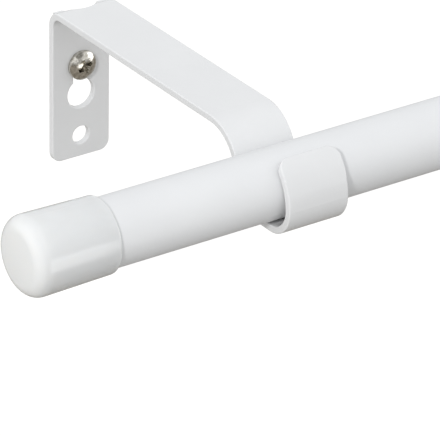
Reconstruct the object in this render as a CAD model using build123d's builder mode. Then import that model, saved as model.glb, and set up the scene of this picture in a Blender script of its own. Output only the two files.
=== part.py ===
from build123d import *
import math
import os

# A telescoping curtain rod: two thin steel tubes, one sliding in the other, a
# plastic cap on each end, and two wall brackets each folded from one steel strip.
# Millimetres. X runs along the rod, +Y points to the wall and +Z up. The origin is
# on the wall, on the centre line of the left bracket's plate, between its two holes.

# The tubes
outer_tube_d = 18.7        # outside diameter of the fixed tube
tube_wall = 0.6
slide_clearance = 0.1      # radial gap between the sliding tube and the fixed one
tube_end_round = 0.2       # softened rim at each cut end
closed_length = 711.2      # over both caps, pushed together
closed_room = 5.6          # sliding tube's hidden end to the left cap's floor, pushed together
open_overlap = 90.0        # sliding tube still inside the fixed one when pulled out

# Where the rod lies
projection = 101.6         # wall to tube centre
rod_height = 24.0          # tube centre above the origin
cap_to_bracket = 83.3      # end of the rod to the bracket's centre line
step_to_bracket = 12.0     # end of the fixed tube to the right bracket's edge

# The end caps
cap_length = 24.8
cap_face_d = 21.7          # at the closed end, before its edge is rounded
cap_dome = 0.8             # bulge of the closed end
cap_rim_d = 20.7           # at the open end
cap_floor = 3.0
cap_fit = 0.05             # radial gap between the tube and its socket
cap_face_round = 4.0
cap_rim_round = 0.6
cap_mouth_lead = 0.3       # lead-in at the socket's mouth

# The bracket strip
strip_width = 18.6
sheet = 2.0
strip_edge_round = 0.35
arm_rise = 1.2             # top of the arm above the top of the tube
top_bend_radius = 5.0      # outside of the bend between plate and arm
plate_foot = 12.0          # plate's lower end below the origin
plate_corner_round = 3.0

# The hook
hook_back_gap = 1.1        # tube to the hook's back leg
hook_back_radius = 6.0     # inside, between back leg and floor
hook_back_straight = 0.7   # flat of the back leg between its two bends
hook_front_radius = 6.5    # inside, between floor and lip
lip_radius = 15.2          # inside of the lip, which leans in over the tube
lip_gap = 0.3              # tube to lip where they come closest
lip_near_angle = 33.3      # that place, above the tube centre's level
lip_top_angle = 50.3       # end of the lip, seen from the lip's own centre
lip_corner_round = 3.4

# The dart pressed into the top bend to stiffen it
dart_radius = 9.5          # of the rounded tool
dart_depth = 1.3           # below the outside of the bend

# The holes in the plate
keyhole_height = 7.3       # centre of the round part, above the origin
keyhole_d = 8.7
slot_width = 5.0
slot_run = 8.5             # round part's centre to the centre of the slot's end
lower_hole_drop = 5.5      # below the origin
lower_hole_d = 5.4
hole_edge_round = 0.35     # both rims of each hole, under the coating

# The screws
shank_d = 4.2
screw_length = 15.9        # under the head
screw_tip_length = 5.0
head_d = 8.6
head_height = 2.6
head_rim = 1.0             # height of the head's edge, below its dome
head_round = 0.5           # between edge and dome
recess_span = 4.9          # cross recess, tip to tip
recess_width = 1.2
recess_depth = 1.8
recess_taper = 14.0
recess_turn = 24.0         # as the screw happened to stop

# Places and radii that follow from the sizes above
outer_r = outer_tube_d / 2
bore_r = outer_r - tube_wall
inner_r = bore_r - slide_clearance
left_end_x = -cap_to_bracket
right_end_x = left_end_x + closed_length
right_bracket_x = right_end_x - cap_to_bracket
outer_start_x = left_end_x + cap_floor
outer_stop_x = right_bracket_x - strip_width / 2 - step_to_bracket
inner_start_x = outer_start_x + closed_room
inner_stop_x = right_end_x - cap_floor
travel = outer_stop_x - open_overlap - inner_start_x
arm_top = rod_height + outer_r + arm_rise
floor_z = rod_height - outer_r
screw_height = keyhole_height + slot_run + (slot_width - shank_d) / 2
rod_axis = Axis((0, -projection, rod_height), (1, 0, 0))


def across_rod(x):
    """Plane square to the rod at x, its centre on the rod's axis."""
    return Plane(origin=(x, -projection, rod_height), x_dir=(0, 1, 0), z_dir=(1, 0, 0))


def make_tube(start_x, stop_x, radius):
    with BuildPart() as tube:
        with BuildSketch(across_rod(start_x)):
            Circle(radius)
            Circle(radius - tube_wall, mode=Mode.SUBTRACT)
        extrude(amount=stop_x - start_x)
        ends = tube.faces().filter_by(Axis.X)
        fillet(ends.edges().filter_by(lambda rim: rim.radius > radius - tube_wall / 2), tube_end_round)
    return tube.part


def make_cap(end_x, inward, tube_r):
    """Cap whose closed end is at end_x and whose socket opens along inward, +1 or -1 on X."""
    side = Plane(origin=(end_x, -projection, rod_height), x_dir=(inward, 0, 0), z_dir=(0, -inward, 0))
    face_r = cap_face_d / 2
    rim_r = cap_rim_d / 2
    socket_r = tube_r + cap_fit
    with BuildPart() as cap:
        with BuildSketch(side) as half:
            with BuildLine():
                TangentArc((0, 0), (cap_dome, face_r), tangent=(0, 1))
                Polyline(
                    (cap_dome, face_r),
                    (cap_length, rim_r),
                    (cap_length, socket_r),
                    (cap_floor, socket_r),
                    (cap_floor, 0),
                    (0, 0),
                )
            make_face()
            fillet(half.vertices().sort_by(Axis.Y)[-1], cap_face_round)
            fillet(half.vertices().group_by(Axis.X)[-1].sort_by(Axis.Y)[-1], cap_rim_round)
            chamfer(half.vertices().group_by(Axis.X)[-1].sort_by(Axis.Y)[0], cap_mouth_lead)
        revolve(axis=rod_axis)
    return cap.part


def draw_strip_skin():
    """The strip's tube side, from the plate's foot to the lip's end, for a line sketch in Y and Z."""
    # The back leg's upper bend fills the height that the lower one and the flat leave.
    drop_radius = arm_top - floor_z - hook_back_radius - hook_back_straight
    leg_y = -projection + outer_r + hook_back_gap
    lower_bend_z = floor_z + hook_back_radius
    upper_bend_z = arm_top - drop_radius
    # The lip's centre lies across the tube from the place where lip and tube come closest.
    near = math.radians(lip_near_angle)
    shift = lip_radius - outer_r - lip_gap
    lip_y = -projection + shift * math.cos(near)
    lip_z = rod_height - shift * math.sin(near)
    # The front corner rests on the floor and runs into the lip's arc without a break.
    corner_z = floor_z + hook_front_radius
    corner_y = lip_y - math.sqrt((lip_radius - hook_front_radius) ** 2 - (corner_z - lip_z) ** 2)
    join = math.degrees(math.atan2(corner_z - lip_z, corner_y - lip_y)) % 360
    lip_end = 180 - lip_top_angle
    Line((0, -plate_foot), (0, arm_top - top_bend_radius))
    CenterArc((-top_bend_radius, arm_top - top_bend_radius), top_bend_radius, 0, 90)
    Line((-top_bend_radius, arm_top), (leg_y + drop_radius, arm_top))
    CenterArc((leg_y + drop_radius, upper_bend_z), drop_radius, 90, 90)
    Line((leg_y, upper_bend_z), (leg_y, lower_bend_z))
    CenterArc((leg_y - hook_back_radius, lower_bend_z), hook_back_radius, 0, -90)
    Line((leg_y - hook_back_radius, floor_z), (corner_y, floor_z))
    CenterArc((corner_y, corner_z), hook_front_radius, 270, join - 270)
    CenterArc((lip_y, lip_z), lip_radius, join, lip_end - join)


def across_sheet(edge):
    """Whether an edge runs through the strip's thickness."""
    return abs(edge.length - sheet) < 0.01 * sheet


def is_strip_end(face):
    """Whether a face is one of the strip's two cut ends or of their rounded corners."""
    return any(across_sheet(edge) for edge in face.edges()) and face.bounding_box().size.X < strip_width


def make_bracket(x, lift):
    """Bracket on the wall at x, raised by lift above the left one."""
    place = Pos(x, 0, lift)
    # The dart's tool lies along the chord across the bend, just outside it.
    bend_back = top_bend_radius * (math.sqrt(2) - 1)
    into_corner = (dart_radius - bend_back - dart_depth) / math.sqrt(2)
    dart_place = Plane(
        origin=(0, into_corner, arm_top + into_corner), x_dir=(1, 0, 0), z_dir=(0, -1, 1)
    ).location
    dart_reach = 4 * top_bend_radius
    with BuildPart() as dart_rib:
        with BuildSketch(Plane.YZ):
            with BuildLine():
                Polyline(
                    (-sheet / 2, arm_top - sheet / 2),
                    (-sheet / 2, arm_top - dart_reach),
                    (-dart_reach, arm_top - sheet / 2),
                    close=True,
                )
            make_face()
        extrude(amount=strip_width / 2, both=True)
        with Locations(dart_place):
            Cylinder(dart_radius + sheet, 2 * dart_reach, mode=Mode.INTERSECT)
    with BuildPart() as bracket:
        with BuildSketch(Plane.YZ):
            with BuildLine():
                draw_strip_skin()
                offset(amount=sheet, side=Side.LEFT)
            make_face()
        extrude(amount=strip_width / 2, both=True)
        corners = bracket.edges().filter_by(GeomType.LINE).filter_by(across_sheet).sort_by(Axis.Z)
        fillet(corners[:2], plate_corner_round)
        fillet(corners[-2:], lip_corner_round)
        rims = bracket.faces().filter_by(Axis.X) + bracket.faces().filter_by(is_strip_end)
        outline = rims.edges().filter_by(lambda edge: not across_sheet(edge))
        fillet(outline, strip_edge_round)
        add(dart_rib.part)
        with Locations(dart_place):
            Cylinder(dart_radius, 2 * dart_reach, mode=Mode.SUBTRACT)
        with BuildSketch(Plane.XZ):
            with Locations((0, keyhole_height)):
                Circle(keyhole_d / 2)
            with Locations((0, keyhole_height + slot_run)):
                Circle(slot_width / 2)
            with Locations((0, keyhole_height + slot_run / 2)):
                Rectangle(slot_width, slot_run)
            with Locations((0, -lower_hole_drop)):
                Circle(lower_hole_d / 2)
        extrude(amount=sheet, mode=Mode.SUBTRACT)
        plate_faces = bracket.faces().filter_by(Axis.Y).filter_by(lambda face: face.inner_wires())
        hole_rims = [rim for face in plate_faces for wire in face.inner_wires() for rim in wire.edges()]
        fillet(hole_rims, hole_edge_round)
    return place * bracket.part


def make_screw(x, lift):
    """Pan-head screw whose head bears on the plate and whose shank goes into the wall."""
    seat = Plane(origin=(x, -sheet, screw_height + lift), x_dir=(1, 0, 0), z_dir=(0, 0, 1))
    crown = Plane(origin=seat.origin - (0, head_height, 0), x_dir=(1, 0, 0), z_dir=(0, 1, 0))
    with BuildPart() as screw:
        with BuildSketch(seat) as half:
            with BuildLine():
                TangentArc((0, -head_height), (head_d / 2, -head_rim), tangent=(1, 0))
                Polyline(
                    (head_d / 2, -head_rim),
                    (head_d / 2, 0),
                    (shank_d / 2, 0),
                    (shank_d / 2, screw_length - screw_tip_length),
                    (0, screw_length),
                    (0, -head_height),
                )
            make_face()
            fillet(half.vertices().group_by(Axis.X)[-1].sort_by(Axis.Y)[0], head_round)
        revolve(axis=Axis(seat.origin, (0, 1, 0)))
        with BuildSketch(crown):
            Rectangle(recess_span, recess_width, rotation=recess_turn)
            Rectangle(recess_width, recess_span, rotation=recess_turn)
        extrude(amount=recess_depth, taper=recess_taper, mode=Mode.SUBTRACT)
    return screw.part


# The right bracket carries the thinner tube, so it is screwed on a hair higher.
right_lift = outer_r - inner_r

pieces = {
    "outer_tube": make_tube(outer_start_x, outer_stop_x, outer_r),
    "inner_tube": make_tube(inner_start_x, inner_stop_x, inner_r),
    "left_end_cap": make_cap(left_end_x, 1, outer_r),
    "right_end_cap": make_cap(right_end_x, -1, inner_r),
    "left_bracket": make_bracket(0, 0),
    "right_bracket": make_bracket(right_bracket_x, right_lift),
    "left_screw": make_screw(0, 0),
    "right_screw": make_screw(right_bracket_x, right_lift),
}

os.makedirs("parts", exist_ok=True)
for name, piece in pieces.items():
    piece.label = name
    export_step(piece, f"parts/{name}.step")

print(f"travel {travel:.1f}, open length {closed_length + travel:.1f}")
print(f"right bracket at x {right_bracket_x:.1f}, lift {right_lift:.2f}")
print(f"tube floor z {floor_z:.2f}, arm top z {arm_top:.2f}, screw z {screw_height:.2f}")
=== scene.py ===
import math

import bmesh
import bpy
from mathutils import Matrix, Vector

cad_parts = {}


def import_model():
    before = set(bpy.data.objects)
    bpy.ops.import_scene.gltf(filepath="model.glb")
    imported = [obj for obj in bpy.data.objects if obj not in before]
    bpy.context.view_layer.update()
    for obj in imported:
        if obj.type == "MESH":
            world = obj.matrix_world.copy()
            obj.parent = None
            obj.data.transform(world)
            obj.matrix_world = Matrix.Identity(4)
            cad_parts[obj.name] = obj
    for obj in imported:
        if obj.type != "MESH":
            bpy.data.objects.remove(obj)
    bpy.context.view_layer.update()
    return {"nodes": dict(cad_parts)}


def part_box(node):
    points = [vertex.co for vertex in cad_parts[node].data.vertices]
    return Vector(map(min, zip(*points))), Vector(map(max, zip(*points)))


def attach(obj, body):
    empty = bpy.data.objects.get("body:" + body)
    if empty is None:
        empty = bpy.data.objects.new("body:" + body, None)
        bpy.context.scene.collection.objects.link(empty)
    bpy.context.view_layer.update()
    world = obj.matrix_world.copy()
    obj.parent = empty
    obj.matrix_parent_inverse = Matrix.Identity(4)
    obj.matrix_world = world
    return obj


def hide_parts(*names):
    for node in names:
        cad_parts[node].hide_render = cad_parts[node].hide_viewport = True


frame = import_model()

MM = 0.001
PROJECTION = 101.6 * MM           # wall to tube centre
ROD_HEIGHT = 24.0 * MM            # tube centre above the origin
CROWN_MIDDLE = 1.45 * MM          # radius of the innermost facets of a cap's closed end
NOISE_LOW = 0.3                   # most of a noise's values lie between these two
NOISE_HIGH = 0.7

# The screw's head: a dome with a rounded edge, its seat at depth 0
HEAD_RADIUS = 4.3 * MM
HEAD_HEIGHT = 2.6 * MM
HEAD_RIM = 1.0 * MM               # height of the head's edge, below its dome
HEAD_ROUND = 0.5 * MM
DOME_STEPS = 16
ROUND_STEPS = 8
SEAT_BEVEL = 0.12 * MM
NECK_FOOT = 0.25 * MM             # how far the neck widens where it meets the seat
SHARP_EDGE = math.radians(38)     # smooth shading breaks at a sharper edge

# Its shank: a plain neck, then a coarse thread that runs to a point
SCREW_LENGTH = 15.9 * MM          # under the head
SCREW_TIP = 5.0 * MM
TIP_RADIUS = 0.04 * MM
NECK = 1.4 * MM
NECK_RADIUS = 1.75 * MM
NECK_FADE = 0.5                   # the neck narrows to the root over this share of the pitch
THREAD_RADIUS = 2.1 * MM
ROOT_RADIUS = 1.4 * MM
ROOT_TAPER = 1.25                 # above 1, the root starts to narrow later than the tip
CREST_LEAD = 0.1                  # the crest narrows later, too, by this share of the tip
PITCH = 1.6 * MM
CREST = 0.25                      # half width of the ridge's foot, as a share of the pitch
SCREW_SEGMENTS = 64
THREAD_ROWS = 16                  # rows of faces in one pitch
SAME_DEPTH = 1e-9

# Its recess: a cross of four tapering wings with a cone in the middle
RECESS_SPAN = 4.9 * MM            # tip to tip at the surface
RECESS_WIDTH = 1.2 * MM
RECESS_DEPTH = 1.8 * MM
RECESS_SHRINK = 0.6               # size of the cross at its floor
RECESS_TURN = math.radians(24)
CUTTER_ABOVE = 0.3 * MM           # how far the cutters stand over the crown
CUTTER_FLARE = 1.08               # size of the cross up there
CONE_RADIUS = 1.45 * MM           # at the surface
CONE_FLARE = 1.1
CONE_SHRINK = 0.35
CONE_FLOOR = 0.25 * MM            # the cone's floor, above the cross's
CONE_SEGMENTS = 24

# The camera stands where the photograph's did: turned from the wall's normal towards
# the rod's free end, looking down, and a little rolled.
CAMERA_TURN = math.radians(35.01)
CAMERA_DOWN = math.radians(27.55)
CAMERA_ROLL = math.radians(1.08)
CAMERA_DISTANCE = 1.0707
CAMERA_TARGET = Vector((-0.02210, -PROJECTION, 0.0184))
FOCAL_PIXELS = 4192.1
IMAGE_WIDTH = 440
SENSOR = 36.0
NEAREST = 0.05
FARTHEST = 60

# The surroundings, the floor, and a flag that only reflections see
WHITE = (1, 1, 1, 1)
SKY_COLOUR = (0.97, 0.985, 1.0, 1)
SKY_LEVEL = 0.80
FLOOR_COLOUR = (0.447, 0.438, 0.422, 1)
FLOOR_GLOW = 0.66                 # brings the floor to white for camera and reflections
FLOOR_HEIGHT = -0.75
FLOOR_SIZE = 30
CARD_COLOUR = (0.30, 0.27, 0.23, 1)
CARD_ROUGHNESS = 0.9
CARD_HEIGHT = -0.6
CARD_SIZE = 24

LIT_MIDDLE = Vector((0.15, -PROJECTION, ROD_HEIGHT))


def away(distance, *direction):
    """The point that far from the middle of what is lit, in that direction."""
    return LIT_MIDDLE + distance * Vector(direction).normalized()


# Each light's name, place, aim, width, height, watts, and whether reflections see it. A
# light reaches either the matt part of every surface or only reflections.
LIGHTS = (
    ("key", away(4.0, -0.74, -0.46, 0.50), LIT_MIDDLE, 0.4, 0.4, 55, False),
    ("second_key", away(4.0, 0.74, -0.46, 0.50), LIT_MIDDLE, 2.4, 2.4, 17, False),
    ("end_fill", away(4.0, -1, 0, 0), LIT_MIDDLE, 0.8, 0.8, 11, False),
    ("overhead_strip", (-0.22, -1.30, 1.90), (-0.07, -0.10, 0.02), 0.30, 2.6, 6, True),
    ("cap_panel", (0.015, -0.36, -0.035), (-0.07, -0.11, 0.02), 0.15, 0.16, 0.22, True),
    ("right_panel", away(3.0, 0.93, -0.33, 0.15), LIT_MIDDLE, 1.6, 1.6, 24, True),
)


def fill(made, inputs):
    """Gives a node its inputs: each a value, or another node's output that is linked to it."""
    for name, value in inputs.items():
        if isinstance(value, bpy.types.NodeSocket):
            made.id_data.links.new(value, made.inputs[name])
        else:
            made.inputs[name].default_value = value


def node(tree, kind, inputs, **settings):
    """A shader node with its settings, then its inputs."""
    made = tree.nodes.new(kind)
    for name, value in settings.items():
        setattr(made, name, value)
    fill(made, inputs)
    return made


def bare_tree(owner):
    """The node tree of a new material or world, emptied."""
    owner.use_nodes = True
    owner.node_tree.nodes.clear()
    return owner.node_tree


def new_material(name):
    material = bpy.data.materials.new(name)
    tree = bare_tree(material)
    surface = node(tree, "ShaderNodeBsdfPrincipled", {})
    node(tree, "ShaderNodeOutputMaterial", {"Surface": surface.outputs[0]})
    return material, tree, surface


def noise(tree, scale, detail):
    """Noise in the piece's own coordinates, with scale in cells per metre."""
    place = node(tree, "ShaderNodeTexCoord", {})
    return node(tree, "ShaderNodeTexNoise", {
        "Scale": scale, "Detail": detail, "Vector": place.outputs["Object"],
    }).outputs["Fac"]


def varied(tree, scale, detail, low, high):
    """A value that wanders with noise, whose middle range is stretched from low to high."""
    return node(tree, "ShaderNodeMapRange", {
        "From Min": NOISE_LOW, "From Max": NOISE_HIGH, "To Min": low, "To Max": high,
        "Value": noise(tree, scale, detail),
    }).outputs["Result"]


def tinted(tree, scale, detail, first, second):
    """A colour that wanders from first to second."""
    return node(tree, "ShaderNodeMix", {
        "A": (*first, 1), "B": (*second, 1), "Factor": varied(tree, scale, detail, 0, 1),
    }, data_type="RGBA").outputs["Result"]


def bumps(tree, layers, below=None):
    """Bumps of (scale, detail, depth in metres), each laid over the one before."""
    for scale, detail, depth in layers:
        inputs = {"Distance": depth, "Height": noise(tree, scale, detail)}
        if below is not None:
            inputs["Normal"] = below
        below = node(tree, "ShaderNodeBump", inputs).outputs["Normal"]
    return below


def powder_coat():
    """Satin white baked coating with a fine orange-peel surface, for the tubes."""
    material, tree, surface = new_material("powder_coat")
    fill(surface, {
        "Base Color": tinted(tree, 60, 3, (0.772, 0.777, 0.785), (0.792, 0.797, 0.804)),
        "Roughness": varied(tree, 900, 3, 0.40, 0.50),
        "Normal": bumps(tree, ((1100, 1, 9e-6), (5200, 2, 2.5e-6))),
        "Specular IOR Level": 0.25,
    })
    return material


def enamel():
    """Glossier white paint on the folded brackets, thicker and slightly wavy."""
    material, tree, surface = new_material("enamel")
    fill(surface, {
        "Base Color": tinted(tree, 75, 3, (0.762, 0.765, 0.770), (0.785, 0.788, 0.792)),
        "Roughness": varied(tree, 700, 3, 0.16, 0.26),
        "Normal": bumps(tree, ((260, 2, 1.6e-5), (1500, 1, 2.5e-6))),
        "Specular IOR Level": 0.5,
    })
    return material


def crown_normal(tree):
    """The surface's normal, but the facets' own in the middle of a cap's closed end."""
    place = node(tree, "ShaderNodeTexCoord", {})
    from_axis = node(tree, "ShaderNodeVectorMath", {
        0: place.outputs["Object"], 1: (0, -PROJECTION, ROD_HEIGHT),
    }, operation="SUBTRACT")
    across = node(tree, "ShaderNodeVectorMath", {
        0: from_axis.outputs["Vector"], 1: (0, 1, 1),
    }, operation="MULTIPLY")
    radius = node(tree, "ShaderNodeVectorMath", {0: across.outputs["Vector"]}, operation="LENGTH")
    inside = node(tree, "ShaderNodeMath", {
        0: radius.outputs["Value"], 1: CROWN_MIDDLE,
    }, operation="LESS_THAN")
    shape = node(tree, "ShaderNodeNewGeometry", {})
    return node(tree, "ShaderNodeMix", {
        "A": shape.outputs["Normal"], "B": shape.outputs["True Normal"],
        "Factor": inside.outputs[0],
    }, data_type="VECTOR").outputs["Result"]


def cap_plastic():
    """Glossy moulded white plastic, slightly translucent and a shade warmer than the coating."""
    material, tree, surface = new_material("cap_plastic")
    fill(surface, {
        "Base Color": tinted(tree, 90, 2, (0.880, 0.881, 0.863), (0.893, 0.894, 0.876)),
        "Roughness": varied(tree, 420, 3, 0.11, 0.17),
        "Normal": bumps(tree, ((120, 2, 3e-5), (2600, 2, 1.2e-6)), crown_normal(tree)),
        "Subsurface Weight": 0.8,
        "Subsurface Radius": (0.0042, 0.0040, 0.0038),
        "Subsurface Scale": 1.0,
        "IOR": 1.49,
    })
    return material


def nickel():
    """Nickel plate over a cold-formed screw, dented a little, with painted shade darkening its
    corners and recess.
    """
    material, tree, surface = new_material("nickel_plate")
    # Painted shade: ambient occlusion in the corners and the recess, broken up by noise, blends
    # the plate towards dark brown.
    painted_corner_shade = node(tree, "ShaderNodeAmbientOcclusion", {"Distance": 0.7 * MM}, samples=8)
    unshaded_share = node(tree, "ShaderNodeMath", {
        0: painted_corner_shade.outputs["AO"], 1: varied(tree, 1500, 4, -0.35, 0.35),
    }, operation="ADD", use_clamp=True)
    plate = node(tree, "ShaderNodeMix", {
        "A": (0.30, 0.27, 0.21, 1),
        "B": tinted(tree, 1250, 4, (0.38, 0.36, 0.31), (0.84, 0.82, 0.77)),
        "Factor": unshaded_share.outputs[0],
    }, data_type="RGBA")
    fill(surface, {
        "Base Color": plate.outputs["Result"],
        "Roughness": varied(tree, 1800, 3, 0.12, 0.28),
        "Normal": bumps(tree, ((750, 2, 6e-5), (2400, 3, 1.2e-5))),
        "Metallic": 1.0,
    })
    return material


def assign(names, material):
    for name in names:
        piece = frame["nodes"][name]
        piece.data.materials.clear()
        piece.data.materials.append(material)


def mesh_object(name, bm):
    """An object of that mesh, with the faces of its closed form turned outwards."""
    bmesh.ops.recalc_face_normals(bm, faces=bm.faces)
    mesh = bpy.data.meshes.new(name)
    bm.to_mesh(mesh)
    bm.free()
    made = bpy.data.objects.new(name, mesh)
    bpy.context.scene.collection.objects.link(made)
    return made


def loft(bm, rings):
    """Faces between rings of as many vertices each."""
    for low, high in zip(rings, rings[1:]):
        for i in range(len(low)):
            j = (i + 1) % len(low)
            bm.faces.new((low[i], low[j], high[j], high[i]))


def turned(radius, depth, angle):
    """The point at that radius, depth and angle about the screw's axis, which is Y."""
    return radius * math.cos(angle), depth, radius * math.sin(angle)


def head_profile():
    """Radius and depth of the head's outline from its crown to its seat."""
    dome = HEAD_HEIGHT - HEAD_RIM
    dome_radius = (HEAD_RADIUS ** 2 + dome ** 2) / (2 * dome)
    dome_centre = dome_radius - HEAD_HEIGHT
    edge = HEAD_RADIUS - HEAD_ROUND
    edge_depth = dome_centre - math.sqrt((dome_radius - HEAD_ROUND) ** 2 - edge ** 2)
    join = math.atan2(edge, dome_centre - edge_depth)
    points = []
    for i in range(1, DOME_STEPS + 1):
        a = join * i / DOME_STEPS
        points.append((dome_radius * math.sin(a), dome_centre - dome_radius * math.cos(a)))
    for i in range(1, ROUND_STEPS + 1):
        a = join + (math.pi / 2 - join) * i / ROUND_STEPS
        points.append((edge + HEAD_ROUND * math.sin(a), edge_depth - HEAD_ROUND * math.cos(a)))
    points += [(HEAD_RADIUS, -SEAT_BEVEL), (HEAD_RADIUS - SEAT_BEVEL, 0)]
    return [*points, (NECK_RADIUS + NECK_FOOT, 0)]


def thread_radius(depth, angle):
    """The shank's radius, with the ridge that winds round it, both running to the tip."""
    below_neck = (depth - NECK) / PITCH
    cone = min(1.0, (SCREW_LENGTH - depth) / SCREW_TIP)
    root = max(ROOT_RADIUS * min(1.0, ROOT_TAPER * cone), TIP_RADIUS)
    crest = THREAD_RADIUS * min(1.0, CREST_LEAD + cone)
    turn = (below_neck - angle / math.tau) % 1.0
    ridge = max(0.0, 1 - abs(turn - 0.5) / CREST)
    blank = root + (NECK_RADIUS - root) * max(0.0, 1 - below_neck / NECK_FADE)
    return max(blank, root + (crest - root) * ridge * min(1.0, below_neck))


def screw_blank(name):
    """The turned and threaded screw about the Y axis, its seat at the origin."""
    bm = bmesh.new()
    angles = [math.tau * k / SCREW_SEGMENTS for k in range(SCREW_SEGMENTS)]

    def ring(radius, depth):
        return [bm.verts.new(turned(radius, depth, angle)) for angle in angles]

    rings = [ring(radius, depth) for radius, depth in head_profile()]
    neck, tip = ring(NECK_RADIUS, NECK), ring(TIP_RADIUS, SCREW_LENGTH)
    loft(bm, [*rings, neck])
    bm.faces.new(rings[0])
    bm.faces.new(tip)

    # Below the neck the rows of faces wind with the thread, so that its crest is on their edges
    made = {}

    def vertex(row, k):
        if k == SCREW_SEGMENTS:
            row, k = row + THREAD_ROWS, 0
        depth = NECK + PITCH * (row / THREAD_ROWS + k / SCREW_SEGMENTS)
        if depth < NECK + SAME_DEPTH:
            return neck[k]
        if depth > SCREW_LENGTH - SAME_DEPTH:
            return tip[k]
        if (row, k) not in made:
            radius = thread_radius(depth, angles[k])
            made[row, k] = bm.verts.new(turned(radius, depth, angles[k]))
        return made[row, k]

    last_row = math.ceil((SCREW_LENGTH - NECK) / PITCH * THREAD_ROWS)
    for row in range(-THREAD_ROWS, last_row):
        for k in range(SCREW_SEGMENTS):
            painted_corner_shade = dict.fromkeys((
                vertex(row, k), vertex(row, k + 1), vertex(row + 1, k + 1), vertex(row + 1, k)))
            if len(painted_corner_shade) > 2:
                bm.faces.new(list(painted_corner_shade))
    return mesh_object(name, bm)


def cutter(name, outline, ends):
    """A closed form from an outline in X and Z that has a size and a depth at each end."""
    bm = bmesh.new()
    rings = [[bm.verts.new((s * x, depth, s * z)) for x, z in outline] for s, depth in ends]
    loft(bm, rings)
    bm.faces.new(list(reversed(rings[0])))
    bm.faces.new(rings[-1])
    return mesh_object(name, bm)


def recess_cutters():
    """What is cut from the crown: the cross and the cone."""
    top = -HEAD_HEIGHT - CUTTER_ABOVE
    bottom = -HEAD_HEIGHT + RECESS_DEPTH
    half_span = RECESS_SPAN / 2
    half_width = RECESS_WIDTH / 2
    quarter = ((half_span, -half_width), (half_span, half_width), (half_width, half_width))
    cross = []
    for k in range(4):
        c, s = math.cos(RECESS_TURN + k * math.pi / 2), math.sin(RECESS_TURN + k * math.pi / 2)
        cross += [(x * c - z * s, x * s + z * c) for x, z in quarter]
    turns = [math.tau * i / CONE_SEGMENTS for i in range(CONE_SEGMENTS)]
    circle = [(math.cos(turn), math.sin(turn)) for turn in turns]
    cone_ends = (
        (CONE_FLARE * CONE_RADIUS, top), (CONE_SHRINK * CONE_RADIUS, bottom + CONE_FLOOR))
    return (
        cutter("wings", cross, ((CUTTER_FLARE, top), (RECESS_SHRINK, bottom))),
        cutter("cone", circle, cone_ends),
    )


def detailed_screw(name, node_name, body, material):
    """The threaded screw that stands for the plain one."""
    made = screw_blank(name)
    cutters = recess_cutters()
    for tool in cutters:
        cut = made.modifiers.new("recess", "BOOLEAN")
        cut.operation = "DIFFERENCE"
        cut.solver = "EXACT"
        cut.object = tool
    graph = bpy.context.evaluated_depsgraph_get()
    finished = bpy.data.meshes.new_from_object(made.evaluated_get(graph))
    made.modifiers.clear()
    made.data = finished
    for tool in cutters:
        bpy.data.objects.remove(tool)
    low, high = (Vector(corner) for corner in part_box(node_name))
    seat = Vector(((low.x + high.x) / 2, high.y - SCREW_LENGTH, (low.z + high.z) / 2))
    finished.transform(Matrix.Translation(seat))
    finished.shade_smooth()
    finished.set_sharp_from_angle(angle=SHARP_EDGE)
    finished.materials.clear()
    finished.materials.append(material)
    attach(made, body)
    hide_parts(node_name)


def camera():
    look = Vector((
        math.sin(CAMERA_TURN) * math.cos(CAMERA_DOWN),
        math.cos(CAMERA_TURN) * math.cos(CAMERA_DOWN),
        -math.sin(CAMERA_DOWN),
    ))
    level_right = Vector((math.cos(CAMERA_TURN), -math.sin(CAMERA_TURN), 0))
    level_up = level_right.cross(look)
    right = math.cos(CAMERA_ROLL) * level_right + math.sin(CAMERA_ROLL) * level_up
    up = right.cross(look)
    data = bpy.data.cameras.new("camera")
    data.sensor_width = SENSOR
    data.lens = FOCAL_PIXELS / IMAGE_WIDTH * SENSOR
    data.clip_start = NEAREST
    data.clip_end = FARTHEST
    made = bpy.data.objects.new("camera", data)
    turn = Matrix((right, up, -look)).transposed().to_4x4()
    made.matrix_world = Matrix.Translation(CAMERA_TARGET - CAMERA_DISTANCE * look) @ turn
    bpy.context.scene.collection.objects.link(made)
    bpy.context.scene.camera = made


def area_light(name, place, aim, width, height, watts, in_gloss):
    data = bpy.data.lights.new(name, "AREA")
    data.shape = "RECTANGLE"
    data.size = width
    data.size_y = height
    data.energy = watts
    made = bpy.data.objects.new(name, data)
    made.visible_camera = False
    made.visible_glossy = in_gloss
    made.visible_diffuse = not in_gloss
    made.location = place
    made.rotation_euler = (Vector(aim) - Vector(place)).to_track_quat("-Z", "Y").to_euler()
    bpy.context.scene.collection.objects.link(made)


def highest(tree, first, second):
    return node(tree, "ShaderNodeMath", {0: first, 1: second}, operation="MAXIMUM").outputs[0]


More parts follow.
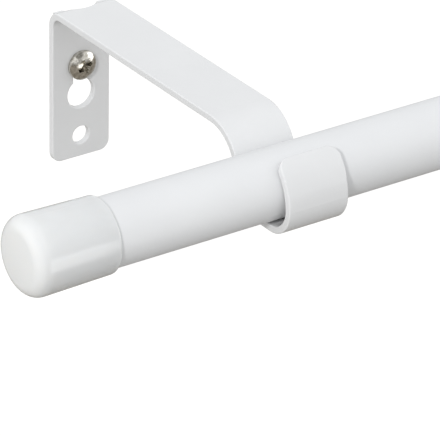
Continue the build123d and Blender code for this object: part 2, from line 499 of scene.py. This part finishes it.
def world():
    """Even pale surroundings, which the camera and reflections see as white."""
    made = bpy.data.worlds.new("surroundings")
    tree = bare_tree(made)
    path = node(tree, "ShaderNodeLightPath", {}).outputs
    camera_or_gloss = highest(tree, path["Is Camera Ray"], path["Is Glossy Ray"])
    seen = highest(tree, camera_or_gloss, path["Is Transmission Ray"])
    lighting = node(tree, "ShaderNodeBackground", {"Color": SKY_COLOUR, "Strength": SKY_LEVEL})
    white = node(tree, "ShaderNodeBackground", {"Color": WHITE, "Strength": 1.0})
    either = node(tree, "ShaderNodeMixShader", {
        0: seen, 1: lighting.outputs[0], 2: white.outputs[0]})
    node(tree, "ShaderNodeOutputWorld", {"Surface": either.outputs[0]})
    bpy.context.scene.world = made


def stage_plane(name, size, height, material):
    """A flat piece under the rod that isn't part of it."""
    bpy.ops.mesh.primitive_plane_add(size=size, location=(0, 0, height))
    made = bpy.context.object
    made.name = name
    made.data.materials.append(material)
    return made


def floor():
    """A wide pale floor well below the rod, white to the eye where no shadow falls."""
    material = bpy.data.materials.new("floor")
    tree = bare_tree(material)
    path = node(tree, "ShaderNodeLightPath", {}).outputs
    seen = highest(tree, path["Is Camera Ray"], path["Is Glossy Ray"])
    strength = node(tree, "ShaderNodeMath", {0: seen, 1: FLOOR_GLOW}, operation="MULTIPLY")
    matt = node(tree, "ShaderNodeBsdfDiffuse", {"Color": FLOOR_COLOUR})
    glow = node(tree, "ShaderNodeEmission", {"Color": WHITE, "Strength": strength.outputs[0]})
    both = node(tree, "ShaderNodeAddShader", {0: matt.outputs[0], 1: glow.outputs[0]})
    node(tree, "ShaderNodeOutputMaterial", {"Surface": both.outputs[0]})
    stage_plane("floor", FLOOR_SIZE, FLOOR_HEIGHT, material)


def dark_card():
    """A flag low under the rod that only reflections see, so that gloss has something to show."""
    material, _, surface = new_material("dark_card")
    fill(surface, {"Base Color": CARD_COLOUR, "Roughness": CARD_ROUGHNESS})
    made = stage_plane("dark_card", CARD_SIZE, CARD_HEIGHT, material)
    made.visible_camera = False
    made.visible_diffuse = False
    made.visible_shadow = False
    made.visible_transmission = False


bpy.context.scene.view_settings.view_transform = "Standard"
camera()
world()
floor()
dark_card()
for light in LIGHTS:
    area_light(*light)

assign(["outer_tube", "inner_tube"], powder_coat())
assign(["left_bracket", "right_bracket"], enamel())
assign(["left_end_cap", "right_end_cap"], cap_plastic())
plated = nickel()
detailed_screw("left_threaded_screw", "left_screw", "fixed_side", plated)
detailed_screw("right_threaded_screw", "right_screw", "sliding_side", plated)
